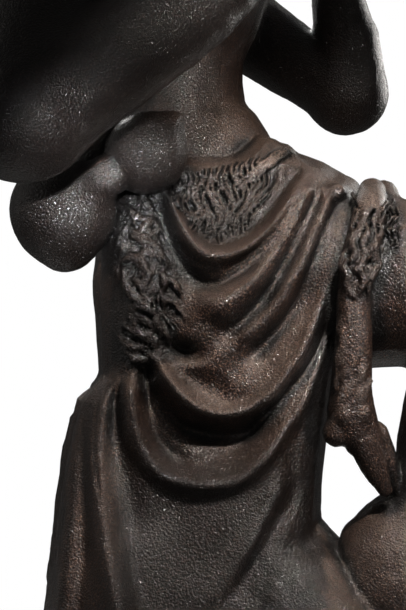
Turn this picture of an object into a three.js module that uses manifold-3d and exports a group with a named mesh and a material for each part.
// Cast iron garden statue: a seated shepherd youth playing a flute, with a goatskin over his lap,
// a two-lobed gourd at his hip and a rock for a seat. It is one iron casting, so it is one solid.
// Millimetres. +Z is up, the figure faces +X, and its right-hand side faces -Y.
// The origin is on the flat underside of the rock base, below the front of the seat.
import * as THREE from "three";
import { mergeVertices } from "three/addons/utils/BufferGeometryUtils.js";
import Module from "manifold-3d";

const wasm = await Module();
wasm.setup();

// ---------------------------------------------------------------- driving sizes
const BASE = { length: 740, width: 560, forward: 28, edge: 58, top: 84 };
const SEAT_TOP = 428;
const THIGH_AXIS = 524;
const GOURD = { lower: 55, upper: 44 };
const HEAD = { at: [-128, -12, 1113], deep: 90, wide: 73, tall: 106, turn: -20, nod: 10 };
const FLUTE = { radius: 12, length: 450, lipFromEnd: 112, droop: 22 };
const FINGER = { radius: 10, spacing: 17 };
const CALF = 8;

// Joints of the figure; "near" is its right side, "far" its left side.
const NEAR = {
  shoulder: [-208, -172, 912],
  elbow: [-303, -328, 683],
  wrist: [-93, -258, 834],
  hip: [-150, -92, 520],
  knee: [178, -175, 520],
  ankle: [86, -166, 150],
};
const FAR = {
  shoulder: [-178, 176, 918],
  elbow: [42, 90, 758],
  wrist: [20, 60, 982],
  hip: [-150, 92, 520],
  knee: [226, 122, 530],
  ankle: [206, 128, 150],
};

// Sides of an arm's section, the way its flatness counts, and how round its ends are.
const ARM_SECTION = [8, [0, 0, 1], 0.3];

// The cloth on the figure's right side, level by level: its back and front edges along X, and how
// far its face stands out from the middle plane of the figure.
const CLOTH_LEVELS = [
  // z, back edge, front edge, depth
  [78, -312, -18, 262],
  [190, -300, -12, 243],
  [275, -290, -5, 232],
  [345, -281, 2, 224],
  [400, -267, 10, 220],
  [428, -246, 15, 219],
  [470, -246, 20, 221],
  [526, -247, 27, 220],
  [580, -246, 32, 208],
  [622, -238, 40, 188],
  [637, -234, 18, 178],
  [661, -226, -20, 159],
  [688, -212, -55, 138],
];

// The folds of that cloth: each crest runs over its face through points [x, z], with a half width
// and a height above the face.
const FOLDS = {
  roll: {
    path: [[-169, 622], [-153, 591], [-136, 560], [-118, 547], [-95, 551], [-68, 569], [-25, 636]],
    width: 10,
    height: 17,
  },
  lap: {
    path: [[-18, 640], [-31, 608], [-51, 577], [-79, 544], [-110, 514], [-137, 494]],
    width: 10,
    height: 10,
  },
  thigh: {
    path: [[15, 630], [2, 601], [-15, 567], [-48, 513], [-83, 489], [-126, 474], [-150, 470]],
    width: 12,
    height: 15,
  },
  knee: {
    path: [[23, 618], [17, 574], [3, 526], [-14, 487], [-40, 452], [-66, 430]],
    width: 10,
    height: 12,
  },
  swag: {
    path: [[-182, 446], [-161, 421], [-136, 401], [-110, 391], [-80, 401], [-45, 433], [-16, 478], [2, 515]],
    width: 13,
    height: 20,
  },
  lowerSwag: {
    path: [[-201, 422], [-199, 387], [-187, 356], [-165, 332], [-130, 327], [-85, 343], [-19, 410], [6, 480]],
    width: 14,
    height: 19,
  },
  rear: {
    path: [[-228, 424], [-238, 370], [-240, 315], [-232, 261], [-216, 200], [-203, 140], [-196, 90]],
    width: 12,
    height: 18,
  },
  rearEdge: {
    path: [[-246, 402], [-261, 343], [-267, 275], [-277, 207], [-284, 140], [-290, 90]],
    width: 10,
    height: 12,
  },
  front: {
    path: [[4, 455], [-4, 400], [-18, 345], [-40, 287], [-72, 236], [-108, 190], [-128, 140], [-138, 90]],
    width: 16,
    height: 10,
  },
  frontHem: {
    path: [[-10, 330], [-22, 260], [-34, 190], [-44, 130], [-50, 90]],
    width: 12,
    height: 9,
  },
};
// How quickly a crest dies away towards its two ends.
const FOLD_EDGE = 26;
// Deep pockets between the crests: centre [x, z], half sizes along and across, slope in degrees, depth.
const POCKETS = [
  { centre: [-138, 432], along: 30, across: 15, slope: -20, depth: 17 },
  { centre: [-160, 362], along: 30, across: 17, slope: -35, depth: 18 },
  { centre: [-100, 570], along: 30, across: 26, slope: 0, depth: 12 },
  { centre: [-255, 300], along: 10, across: 90, slope: 0, depth: 6 },
  { centre: [-215, 330], along: 11, across: 90, slope: 0, depth: 9 },
];
// Bands of curly fleece on the same face: path, half width, size of a curl, height.
const FLEECE = [
  { path: [[-196, 606], [-184, 560], [-178, 515], [-182, 475], [-200, 440]], width: 36, curl: 8, height: 15 },
  { path: [[-146, 630], [-118, 610], [-92, 602], [-72, 622]], width: 26, curl: 7, height: 12 },
];
// The inner face of the cloth, from the middle plane, and how far the face lies back above the roll.
const CLOTH_INNER = 40;
const ROLL_RECESS = { depth: 14, over: 22 };
// The cloth's upper edge dips at the side of the waist.
const WAIST_EDGE = { side: 640, front: 686, from: -100, to: -45 };

// ---------------------------------------------------------------- small helpers
const vector = (p) => new THREE.Vector3(...p);
const radians = THREE.MathUtils.degToRad;

// Value of each column of a table at height z, in a straight line between its rows.
function level(table, z) {
  const last = table.length - 1;
  if (z <= table[0][0]) return table[0].slice(1);
  if (z >= table[last][0]) return table[last].slice(1);
  const i = table.findIndex((row) => row[0] > z);
  const [low, high] = [table[i - 1], table[i]];
  const t = (z - low[0]) / (high[0] - low[0]);
  return low.slice(1).map((value, k) => value + (high[k + 1] - value) * t);
}

// A closed solid from a stack of closed rings, capped at both ends.
function skin(rings) {
  const sides = rings[0].length;
  const positions = [];
  const faces = [];
  const put = (p) => positions.push(p.x, p.y, p.z) / 3 - 1;
  const middle = (points) =>
    points.reduce((sum, p) => sum.add(p), new THREE.Vector3()).divideScalar(sides);
  const rows = rings.map((ring) => ring.map(put));
  for (let i = 0; i + 1 < rows.length; i++) {
    for (let j = 0; j < sides; j++) {
      const k = (j + 1) % sides;
      const [a, b, c, d] = [rows[i][j], rows[i][k], rows[i + 1][k], rows[i + 1][j]];
      // Each four-sided patch is split along its shorter diagonal, so that folds stay smooth.
      const rising = rings[i][j].distanceTo(rings[i + 1][k]);
      const falling = rings[i][k].distanceTo(rings[i + 1][j]);
      if (rising < falling) faces.push(a, b, c, a, c, d);
      else faces.push(a, b, d, b, c, d);
    }
  }
  const [first, last] = [rows[0], rows[rows.length - 1]];
  const start = put(middle(rings[0]));
  const end = put(middle(rings[rings.length - 1]));
  for (let j = 0; j < sides; j++) {
    const k = (j + 1) % sides;
    faces.push(start, first[k], first[j], end, last[j], last[k]);
  }
  const geometry = new THREE.BufferGeometry();
  geometry.setAttribute("position", new THREE.Float32BufferAttribute(positions, 3));
  geometry.setIndex(faces);
  return solid(geometry);
}

// A manifold solid from a closed geometry, with its faces turned outwards.
function solid(geometry) {
  geometry.deleteAttribute("normal");
  geometry.deleteAttribute("uv");
  const merged = mergeVertices(geometry, 1e-4);
  const points = merged.attributes.position.array;
  const faces = merged.index.array;
  const kept = [];
  let volume = 0;
  const corner = (i) => new THREE.Vector3().fromArray(points, 3 * i);
  for (let i = 0; i < faces.length; i += 3) {
    const [a, b, c] = [faces[i], faces[i + 1], faces[i + 2]];
    if (a === b || b === c || a === c) continue;
    kept.push(a, b, c);
    volume += corner(a).dot(corner(b).cross(corner(c)));
  }
  if (volume < 0) kept.reverse();
  const mesh = new wasm.Mesh({
    numProp: 3,
    vertProperties: Float32Array.from(points),
    triVerts: Uint32Array.from(kept),
  });
  return new wasm.Manifold(mesh);
}

const union = (solids) => solids.reduce((sum, one) => sum.add(one));

function toGeometry(body) {
  const mesh = body.getMesh();
  const geometry = new THREE.BufferGeometry();
  geometry.setAttribute("position", new THREE.BufferAttribute(Float32Array.from(mesh.vertProperties), 3));
  geometry.setIndex(Array.from(mesh.triVerts));
  return geometry;
}

// A ring of points round a centre: half widths along two directions, and how square it is.
function ring(centre, across, up, halfAcross, halfUp, sides, square = 2) {
  return Array.from({ length: sides }, (_, i) => {
    const angle = (2 * Math.PI * (i + 0.5)) / sides;
    const [c, s] = [Math.cos(angle), Math.sin(angle)];
    const power = 2 / square;
    const a = Math.sign(c) * Math.abs(c) ** power * halfAcross;
    const b = Math.sign(s) * Math.abs(s) ** power * halfUp;
    return centre.clone().addScaledVector(across, a).addScaledVector(up, b);
  });
}

// A limb through stations [x, y, z, radius, flatness]. Flatness is the half width towards "flat" as
// a share of the radius, and "ends" says how far the rounded ends reach past the last stations.
function limb(stations, sides = 8, flat = [0, 0, 1], ends = 0.85) {
  const centres = stations.map((s) => vector(s));
  const rings = [];
  const last = stations.length - 1;
  stations.forEach(([, , , radius, ratio = 1], i) => {
    const ahead = centres[Math.min(i + 1, last)].clone().sub(centres[Math.max(i - 1, 0)]).normalize();
    const across = vector(flat).cross(ahead).normalize();
    const up = ahead.clone().cross(across);
    const add = (shift, scale) =>
      rings.push(
        ring(
          centres[i].clone().addScaledVector(ahead, shift * radius),
          across,
          up,
          radius * scale,
          radius * ratio * scale,
          sides,
        ),
      );
    if (i === 0) add(-ends, 0.52);
    add(0, 1);
    if (i === last) add(ends, 0.52);
  });
  return skin(rings);
}

// An upright body through levels [z, x, y, half along X, half along Y, square].
function upright(levels, sides, rough = () => 1) {
  const [ahead, left] = [new THREE.Vector3(1, 0, 0), new THREE.Vector3(0, 1, 0)];
  const rings = levels.map(([z, x, y, halfX, halfY, square = 2]) => {
    const points = ring(new THREE.Vector3(x, y, z), ahead, left, halfX, halfY, sides, square);
    return points.map((p) => {
      const grow = rough(Math.atan2(p.y - y, p.x - x), z);
      return new THREE.Vector3(x + (p.x - x) * grow, y + (p.y - y) * grow, z);
    });
  });
  return skin(rings);
}

function ball(centre, radii, wide = 12, high = 8, turn = [0, 0, 0]) {
  const geometry = new THREE.SphereGeometry(1, wide, high);
  geometry.applyMatrix4(
    new THREE.Matrix4().compose(
      vector(centre),
      new THREE.Quaternion().setFromEuler(new THREE.Euler(...turn.map(radians))),
      vector(radii),
    ),
  );
  return solid(geometry);
}

// A repeatable pseudo-random number from 0 to 1 for each whole number.
const chance = (n) => {
  const x = Math.sin(n * 127.1 + 311.7) * 43758.5453;
  return x - Math.floor(x);
};

// ---------------------------------------------------------------- rock, base and boulder
const craggy = (amount, seed) => (angle, z) =>
  1 +
  amount *
    (Math.sin(3 * angle + seed + z / 90) * 0.5 +
      Math.sin(5 * angle - 2 * seed + z / 47) * 0.35 +
      Math.sin(9 * angle + seed * 3 - z / 33) * 0.2);

function rockBase() {
  const { length, width, forward, edge, top } = BASE;
  const plinth = upright(
    [
      [0, forward, 0, length / 2 - 6, width / 2 - 6, 3],
      [edge * 0.6, forward, 0, length / 2, width / 2, 3],
      [edge, forward, 0, length / 2 - 12, width / 2 - 12, 3],
      [top, forward, 0, length / 2 - 60, width / 2 - 60, 3],
    ],
    14,
  );
  const seat = upright(
    [
      [30, -125, 20, 195, 225, 2.6],
      [130, -136, 22, 160, 200, 2.6],
      [250, -140, 25, 132, 180, 2.6],
      [350, -132, 25, 122, 172, 2.6],
      [SEAT_TOP, -126, 22, 118, 165, 2.6],
      [SEAT_TOP + 30, -122, 20, 105, 150, 2.6],
    ],
    12,
    craggy(0.07, 1.3),
  );
  // A ledge that runs down and forwards from under the cloth.
  const ledge = upright(
    [
      [40, 20, -110, 150, 158, 2.4],
      [110, 0, -115, 140, 150, 2.4],
      [170, -20, -118, 118, 140, 2.3],
      [215, -40, -115, 92, 128, 2.2],
      [262, -62, -108, 64, 110, 2.2],
      [305, -78, -98, 40, 85, 2],
    ],
    10,
    craggy(0.03, 4.1),
  );
  return union([plinth, seat, ledge]);
}

const boulder = () => ball([103, -150, 203], [103, 86, 110], 12, 8, [0, 8, 20]);

// ---------------------------------------------------------------- the figure
function torso() {
  return upright(
    [
      [430, -148, 0, 88, 150, 2.2],
      [520, -146, 0, 100, 168, 2.2],
      [600, -148, 0, 100, 158],
      [655, -148, 0, 98, 144],
      [685, -149, 0, 99, 138],
      [712, -158, 0, 93, 133],
      [742, -165, 0, 83, 130],
      [780, -167, 0, 84, 134],
      [825, -160, 0, 96, 147],
      [880, -161, 1, 104, 159],
      [925, -172, 3, 93, 164],
      [950, -180, 3, 76, 138],
      [972, -184, 2, 62, 92],
      [990, -182, 0, 55, 64],
    ],
    13,
  );
}

function nearArm() {
  const [s, e, w] = [NEAR.shoulder, NEAR.elbow, NEAR.wrist];
  const upper = limb(
    [
      [...s, 64],
      [-240, -212, 866, 62],
      [-280, -268, 796, 59],
      [e[0] - 4, e[1], e[2] + 12, 58],
    ],
    ...ARM_SECTION,
  );
  const fore = limb(
    [
      [e[0] + 6, e[1], e[2] - 1, 62],
      [-262, -314, 715, 61],
      [-222, -300, 741, 56],
      [-139, -272, 797, 46],
      [...w, 34],
    ],
    ...ARM_SECTION,
  );
  const elbow = ball([e[0] - 1, e[1], e[2] - 1], [64, 60, 64], 8, 6);
  const deltoid = ball([s[0], s[1] - 4, s[2] + 2], [64, 60, 62], 8, 6);
  return [upper, fore, elbow, deltoid, ...hand(w, [-112, -268, 905], [-117, -262, 942])];
}

function farArm() {
  const [s, e, w] = [FAR.shoulder, FAR.elbow, FAR.wrist];
  const upper = limb(
    [
      [...s, 60],
      [-95, 150, 856, 52],
      [-24, 118, 801, 44],
      [...e, 43],
    ],
    ...ARM_SECTION,
  );
  const fore = limb(
    [
      [e[0] + 1, e[1], e[2] - 2, 45],
      [44, 88, 788, 43],
      [42, 84, 818, 40],
      [32, 76, 862, 32],
      [...w, 27],
    ],
    ...ARM_SECTION,
  );
  const elbow = ball([e[0] + 1, e[1], e[2] - 3], [48, 45, 48], 8, 6);
  const deltoid = ball(s, [62, 60, 62], 8, 6);
  return [upper, fore, elbow, deltoid, ...hand(w, [4, 38, 1036], [-16, 17, 1062])];
}

// A palm from the wrist, and four fingers and a thumb closed round the flute at "grip".
function hand(wrist, palm, grip) {
  const [w, p, g] = [wrist, palm, grip].map(vector);
  const along = fluteLine().direction;
  const out = g.clone().sub(w).normalize();
  const side = along.clone().cross(out).normalize();
  const heel = w.clone().lerp(p, 1.15);
  const flat = along.toArray();
  const parts = [limb([[...w, 26], [...p, 31, 0.75], [...heel, 28, 0.7]], 7, flat)];
  for (let i = 0; i < 4; i++) {
    const shift = (i - 1.5) * FINGER.spacing;
    const root = p.clone().addScaledVector(along, shift);
    const knuckle = root.clone().addScaledVector(side, 20).addScaledVector(out, 22);
    const tip = g.clone().addScaledVector(along, shift).addScaledVector(out, 14).addScaledVector(side, -2);
    const thick = FINGER.radius;
    parts.push(limb([[...root, thick], [...knuckle, thick], [...tip, thick - 2]], 4, flat));
  }
  const root = p.clone().addScaledVector(side, -14);
  const tip = g.clone().addScaledVector(side, -15);
  parts.push(limb([[...root, FINGER.radius + 2], [...tip, FINGER.radius - 1]], 4, flat));
  return parts;
}

// A bare leg: thigh, shank with its calf, and a foot. "splay" turns the foot to its own side.
function leg(side, splay) {
  const [h, k, a] = [side.hip, side.knee, side.ankle];
  const thigh = limb(
    [
      [...h, 100],
      [h[0] + 130, h[1] * 1.2, THIGH_AXIS + 2, 96],
      [k[0] - 88, k[1] * 0.86, THIGH_AXIS, 88],
      [...k, 66],
    ],
    10,
  );
  const shin = (t, radius) => {
    const on = vector(k).lerp(vector(a), t);
    return [on.x - CALF * Math.sin(Math.PI * t), on.y, on.z, radius];
  };
  const stations = [shin(0, 64), shin(0.2, 64), shin(0.45, 57), shin(0.75, 39), shin(1, 34)];
  const shank = limb(stations, 8, [1, 0, 0]);
  const sole = BASE.top - 4;
  const [x, y] = a;
  const ballY = y - splay * 1.4;
  const arch = limb([
    [x - 26, y, sole + 32, 32],
    [x + 40, y, sole + 40, 38, 0.9],
    [x + 105, y - splay, sole + 24, 42, 0.6],
    [x + 150, ballY, sole + 17, 40, 0.42],
  ]);
  const longest = splay > 0 ? 3.2 : 0.8;
  const toes = Array.from({ length: 5 }, (_, i) => {
    const across = ballY + (i - 2) * 16;
    const reach = x + 186 - Math.abs(i - longest) * 7;
    return limb([[x + 150, across, sole + 15, 10], [reach, across, sole + 12, 11]], 4);
  });
  return [thigh, shank, arch, ...toes];
}

// ---------------------------------------------------------------- head
// A point given in the head's own directions: forwards, to its left, and up.
const headTurn = () => new THREE.Euler(0, radians(HEAD.nod), radians(HEAD.turn), "ZYX");
const headPoint = (forward, left, up) =>
  new THREE.Vector3(forward, left, up).applyEuler(headTurn()).add(vector(HEAD.at));

function head() {
  const { deep, wide, tall } = HEAD;
  const place = (body) => {
    const matrix = new THREE.Matrix4().makeRotationFromEuler(headTurn()).setPosition(vector(HEAD.at));
    return solid(toGeometry(body).applyMatrix4(matrix));
  };
  // Levels from the chin to the crown, in the head's own frame.
  const skull = upright(
    [
      [-tall, 54, 0, 15, 17],
      [-tall * 0.86, 42, 0, 34, 34],
      [-tall * 0.6, 22, 0, 60, 50],
      [-tall * 0.3, 8, 0, 76, 62],
      [0, 2, 0, deep * 0.96, wide],
      [tall * 0.35, -4, 0, deep, wide],
      [tall * 0.68, -8, 0, deep * 0.8, wide * 0.8],
      [tall * 0.92, -10, 0, deep * 0.42, wide * 0.42],
    ],
    10,
  );
  const curls = (angle, z) => 1 + 0.07 * Math.sin(11 * angle + z / 9) * Math.cos(z / 11);
  const hair = upright(
    [
      [-46, -46, 0, 50, 62],
      [-20, -34, 0, 68, 76],
      [8, -26, 0, 84, 84],
      [36, -14, 0, 96, 86],
      [60, -9, 0, 98, 82],
      [84, -8, 0, 84, 70],
      [104, -9, 0, 58, 50],
      [118, -10, 0, 26, 24],
    ],
    16,
    curls,
  );
  const forward = [1, 0, 0];
  const nose = limb([[84, 0, 8, 7], [94, 0, -14, 8], [101, 0, -29, 10], [86, 0, -36, 9]], 6, forward);
  const brow = limb([[76, -34, 12, 8], [87, -14, 15, 8], [87, 14, 15, 8], [76, 34, 12, 8]], 6, forward);
  const lips = limb([[76, -19, -58, 5], [87, 0, -57, 9], [76, 19, -58, 5]], 6, forward);
  const chin = ball([68, 0, -86], [20, 22, 18], 8, 6);
  const ears = [-1, 1].map((side) => ball([0, side * wide, -16], [14, 9, 24], 6, 5));
  return place(union([skull, hair, nose, brow, lips, chin, ...ears]));
}

const neck = () =>
  limb([[-182, 0, 952, 60], [-166, -4, 1000, 54], [...headPoint(-24, 0, -50), 56]], 10, [1, 0, 0]);

// The flute's line, through the lips and square to the face, drooping to the figure's right.
function fluteLine() {
  const lips = headPoint(99, 0, -62);
  const yaw = radians(HEAD.turn);
  const droop = radians(FLUTE.droop);
  const direction = new THREE.Vector3(
    Math.sin(yaw) * Math.cos(droop),
    -Math.cos(yaw) * Math.cos(droop),
    -Math.sin(droop),
  );
  return { lips, direction };
}

function flute() {
  const { radius, length, lipFromEnd } = FLUTE;
  const { lips, direction } = fluteLine();
  const at = (t) => lips.clone().addScaledVector(direction, t);
  return limb([[...at(-lipFromEnd), radius], [...at(length - lipFromEnd), radius]], 10, [1, 0, 0]);
}

// ---------------------------------------------------------------- goatskin and cloth
// Distance of a point from a path, and how far along the path its nearest point is from an end.
function distanceToPath(path, x, z) {
  let best = Infinity;
  let run = 0;
  let walked = 0;
  for (let i = 0; i + 1 < path.length; i++) {
    const [ax, az] = path[i];
    const [dx, dz] = [path[i + 1][0] - ax, path[i + 1][1] - az];
    const size = Math.hypot(dx, dz);
    const t = THREE.MathUtils.clamp(((x - ax) * dx + (z - az) * dz) / size ** 2, 0, 1);
    const distance = Math.hypot(x - ax - dx * t, z - az - dz * t);
    if (distance < best) {
      best = distance;
      run = walked + size * t;
    }
    walked += size;
  }
  return { distance: best, fromEnd: Math.min(run, walked - run) };
}

// How far the carving stands out of the plain face of the cloth.
function relief(x, z) {
  let height = 0;
  for (const fold of Object.values(FOLDS)) {
    const { distance, fromEnd } = distanceToPath(fold.path, x, z);
    const fade = Math.min(1, 0.35 + fromEnd / FOLD_EDGE);
    height = Math.max(height, fold.height * fade * Math.exp(-((distance / fold.width) ** 2) / 1.6));
  }
  for (const { centre, along, across, slope, depth } of POCKETS) {
    const turn = radians(slope);
    const [dx, dz] = [x - centre[0], z - centre[1]];
    const u = (dx * Math.cos(turn) + dz * Math.sin(turn)) / along;
    const v = (dz * Math.cos(turn) - dx * Math.sin(turn)) / across;
    height -= depth * Math.exp(-(u ** 2) - v ** 2);
  }
  // Above the rolled edge, where the skin's fleece side shows, the face lies deeper.
  const roll = FOLDS.roll.path;
  const i = roll.findIndex((p) => p[0] > x);
  if (i > 0) {
    const t = (x - roll[i - 1][0]) / (roll[i][0] - roll[i - 1][0]);
    const above = z - THREE.MathUtils.lerp(roll[i - 1][1], roll[i][1], t);
    height -= ROLL_RECESS.depth * THREE.MathUtils.smoothstep(above, 0, ROLL_RECESS.over);
  }
  return height + curls(x, z);
}

// Curly fleece of the goatskin: rounded lumps inside bands that run along a path.
function curls(x, z) {
  let height = 0;
  for (const { path, width, curl, height: crest } of FLEECE) {
    const inside = 1 - distanceToPath(path, x, z).distance / width;
    if (inside <= 0) continue;
    const [u, v] = [x / curl, z / curl];
    const wave = Math.sin(u + 1.7 * Math.sin(v)) * Math.cos(v + 1.3 * Math.sin(u));
    height = Math.max(height, crest * Math.min(1, 2 * inside) * (0.55 + 0.45 * wave));
  }
  return height;
}

// One side of the cloth: a block whose outer face carries the folds. "side" is -1 for the figure's
// right and 1 for its left.
function clothSide(side, bottom, columns, rows, folds) {
  const top = CLOTH_LEVELS.at(-1)[0];
  const rings = [];
  for (let i = 0; i <= rows; i++) {
    const z = bottom + ((top - bottom) * i) / rows;
    const [back, front] = level(CLOTH_LEVELS, z);
    const line = [];
    for (let j = 0; j <= columns; j++) {
      const t = -1 + (2 * j) / columns;
      const across = Math.sin((t * Math.PI) / 2) * 0.55 + t * 0.45;
      const x = (back + front) / 2 + (across * (front - back)) / 2;
      line.push(new THREE.Vector3(x, side * clothReach(x, z, folds), z));
    }
    line.push(new THREE.Vector3(front - 12, side * CLOTH_INNER, z));
    line.push(new THREE.Vector3(back + 12, side * CLOTH_INNER, z));
    rings.push(line);
  }
  return skin(rings);
}

// How far the cloth stands out from the middle plane at one place, rounded off at its edges.
function clothReach(x, z, folds) {
  const [back, front, depth] = level(CLOTH_LEVELS, z);
  const across = Math.min(1, Math.abs((2 * x - back - front) / (front - back)));
  const round = Math.sqrt(1 - across ** 5);
  const lapSlope = Math.max(0, z - 600) * Math.max(0, x + 150) * 0.0022;
  // Above its upper edge the cloth gives way to bare skin.
  const { side, front: high, from, to } = WAIST_EDGE;
  const edge = side + (high - side) * THREE.MathUtils.smoothstep(x, from, to);
  const bare = 1.4 * Math.max(0, z - edge);
  const plain = (depth - CLOTH_INNER - lapSlope - bare) * (0.34 + 0.66 * round);
  return CLOTH_INNER + plain + folds(x, z) * round;
}

// Plainer hanging folds for the side away from the gourd.
const farFolds = (x, z) => 9 * Math.sin(x / 17 + z / 60) * Math.min(1, (700 - z) / 160);

// The cloth over the hips, the lap and both thighs.
function lap() {
  const hips = upright(
    [
      [410, -143, 0, 104, 178, 2.4],
      [480, -143, 0, 109, 200, 2.4],
      [560, -141, 0, 111, 200, 2.3],
      [610, -140, 0, 110, 178, 2.2],
      [645, -142, 0, 104, 152],
      [680, -144, 0, 92, 128],
    ],
    14,
  );
  const over = limb(
    [
      [-110, 0, 545, 200, 0.66],
      [-56, 0, 542, 206, 0.67],
      [-8, 0, 540, 208, 0.62],
      [34, 0, 534, 196, 0.58],
      [66, 0, 530, 172, 0.5],
    ],
    14,
    [0, 0, 1],
    0.1,
  );
  const rolls = [
    limb([[-72, -110, 648, 16], [-46, -40, 670, 17], [-48, 60, 666, 16], [-76, 120, 650, 14]], 6),
    limb([[-6, -120, 634, 17], [-4, -40, 654, 19], [-12, 60, 648, 17], [-20, 140, 616, 14]], 6),
    limb([[26, -150, 610, 17], [30, -70, 634, 18], [24, 30, 630, 16], [10, 150, 606, 14]], 6),
    limb([[66, -155, 604, 15], [66, -100, 628, 18], [58, -30, 612, 16], [46, 60, 580, 12]], 6),
  ];
  return [hips, over, ...rolls];
}

// Locks of the goatskin's fleece: short curling tapers laid along a path on a face.
function locks(path, spread, count, size, surface, seed) {
  const curve = new THREE.CatmullRomCurve3(path.map(([x, z]) => new THREE.Vector3(x, 0, z)));
  return Array.from({ length: count }, (_, i) => {
    const on = curve.getPoint((i + 0.5) / count);
    const x = on.x + (chance(seed + i * 3) - 0.5) * spread;
    const z = on.z + (chance(seed + i * 3 + 1) - 0.5) * spread * 0.5;
    const lean = (chance(seed + i * 3 + 2) - 0.5) * size;
    const point = (dx, dz, radius) => [x + dx, surface(x + dx, z + dz) - 1, z + dz, radius];
    const stations = [point(lean, size * 0.5, size * 0.44), point(-lean, -size * 0.8, size * 0.22)];
    return limb(stations, 5, [0, 1, 0]);
  });
}

// The skin of a goat's foreleg that hangs over the thigh, with its cloven hoof on the boulder.
function goatLeg() {
  const shaft = limb(
    [
      [40, -165, 618, 20],
      [34, -206, 588, 23],
      [28, -232, 545, 23],
      [24, -232, 500, 20],
      [22, -226, 445, 20],
      [18, -217, 402, 20],
      [16, -212, 376, 22],
      [28, -208, 356, 18],
    ],
    8,
    [1, 0, 0],
  );
  const toe = (dx, dy) => {
    const line = [[30, -207, 362, 15], [44, -200, 334, 15], [58, -194, 308, 9]];
    return limb(line.map(([x, y, z, radius]) => [x + dx, y + dy, z, radius]), 6, [1, 0, 0]);
  };
  const face = (x, z) => -226 + Math.max(0, z - 560) * 0.75;
  const tuft = locks([[34, 620], [30, 590], [24, 555], [16, 528]], 22, 3, 17, face, 211);
  return [shaft, toe(-3, -6), toe(9, 8), ...tuft];
}

// ---------------------------------------------------------------- gourd
function gourd() {
  const lower = ball([-274, -198, 598], [GOURD.lower, 51, 58], 12, 8);
  const upper = ball([-189, -194, 659], [GOURD.upper, 40, GOURD.upper], 12, 8);
  const waist = limb([[-250, -196, 614, 40], [-210, -195, 643, 37]], 8);
  const tip = limb([[-170, -197, 676, 22], [-150, -198, 692, 5]], 6);
  const point = limb([[-271, -198, 560, 26], [-269, -198, 541, 7]], 6, [1, 0, 0]);
  return [lower, upper, waist, tip, point];
}

// ---------------------------------------------------------------- the casting
const casting = union([
  rockBase(),
  boulder(),
  torso(),
  neck(),
  head(),
  flute(),
  ...nearArm(),
  ...farArm(),
  ...leg(NEAR, 10),
  ...leg(FAR, -10),
  ...lap(),
  clothSide(-1, 78, 21, 30, relief),
  clothSide(1, 240, 11, 6, farFolds),
  ...goatLeg(),
  ...gourd(),
]);

function statue() {
  const iron = new THREE.MeshStandardMaterial({ color: 0x3b332f, roughness: 0.42, metalness: 0.85 });
  const object = new THREE.Mesh(toGeometry(casting), iron);
  object.name = "statue";
  return object;
}

const group = new THREE.Group();
group.add(statue());
export default group;
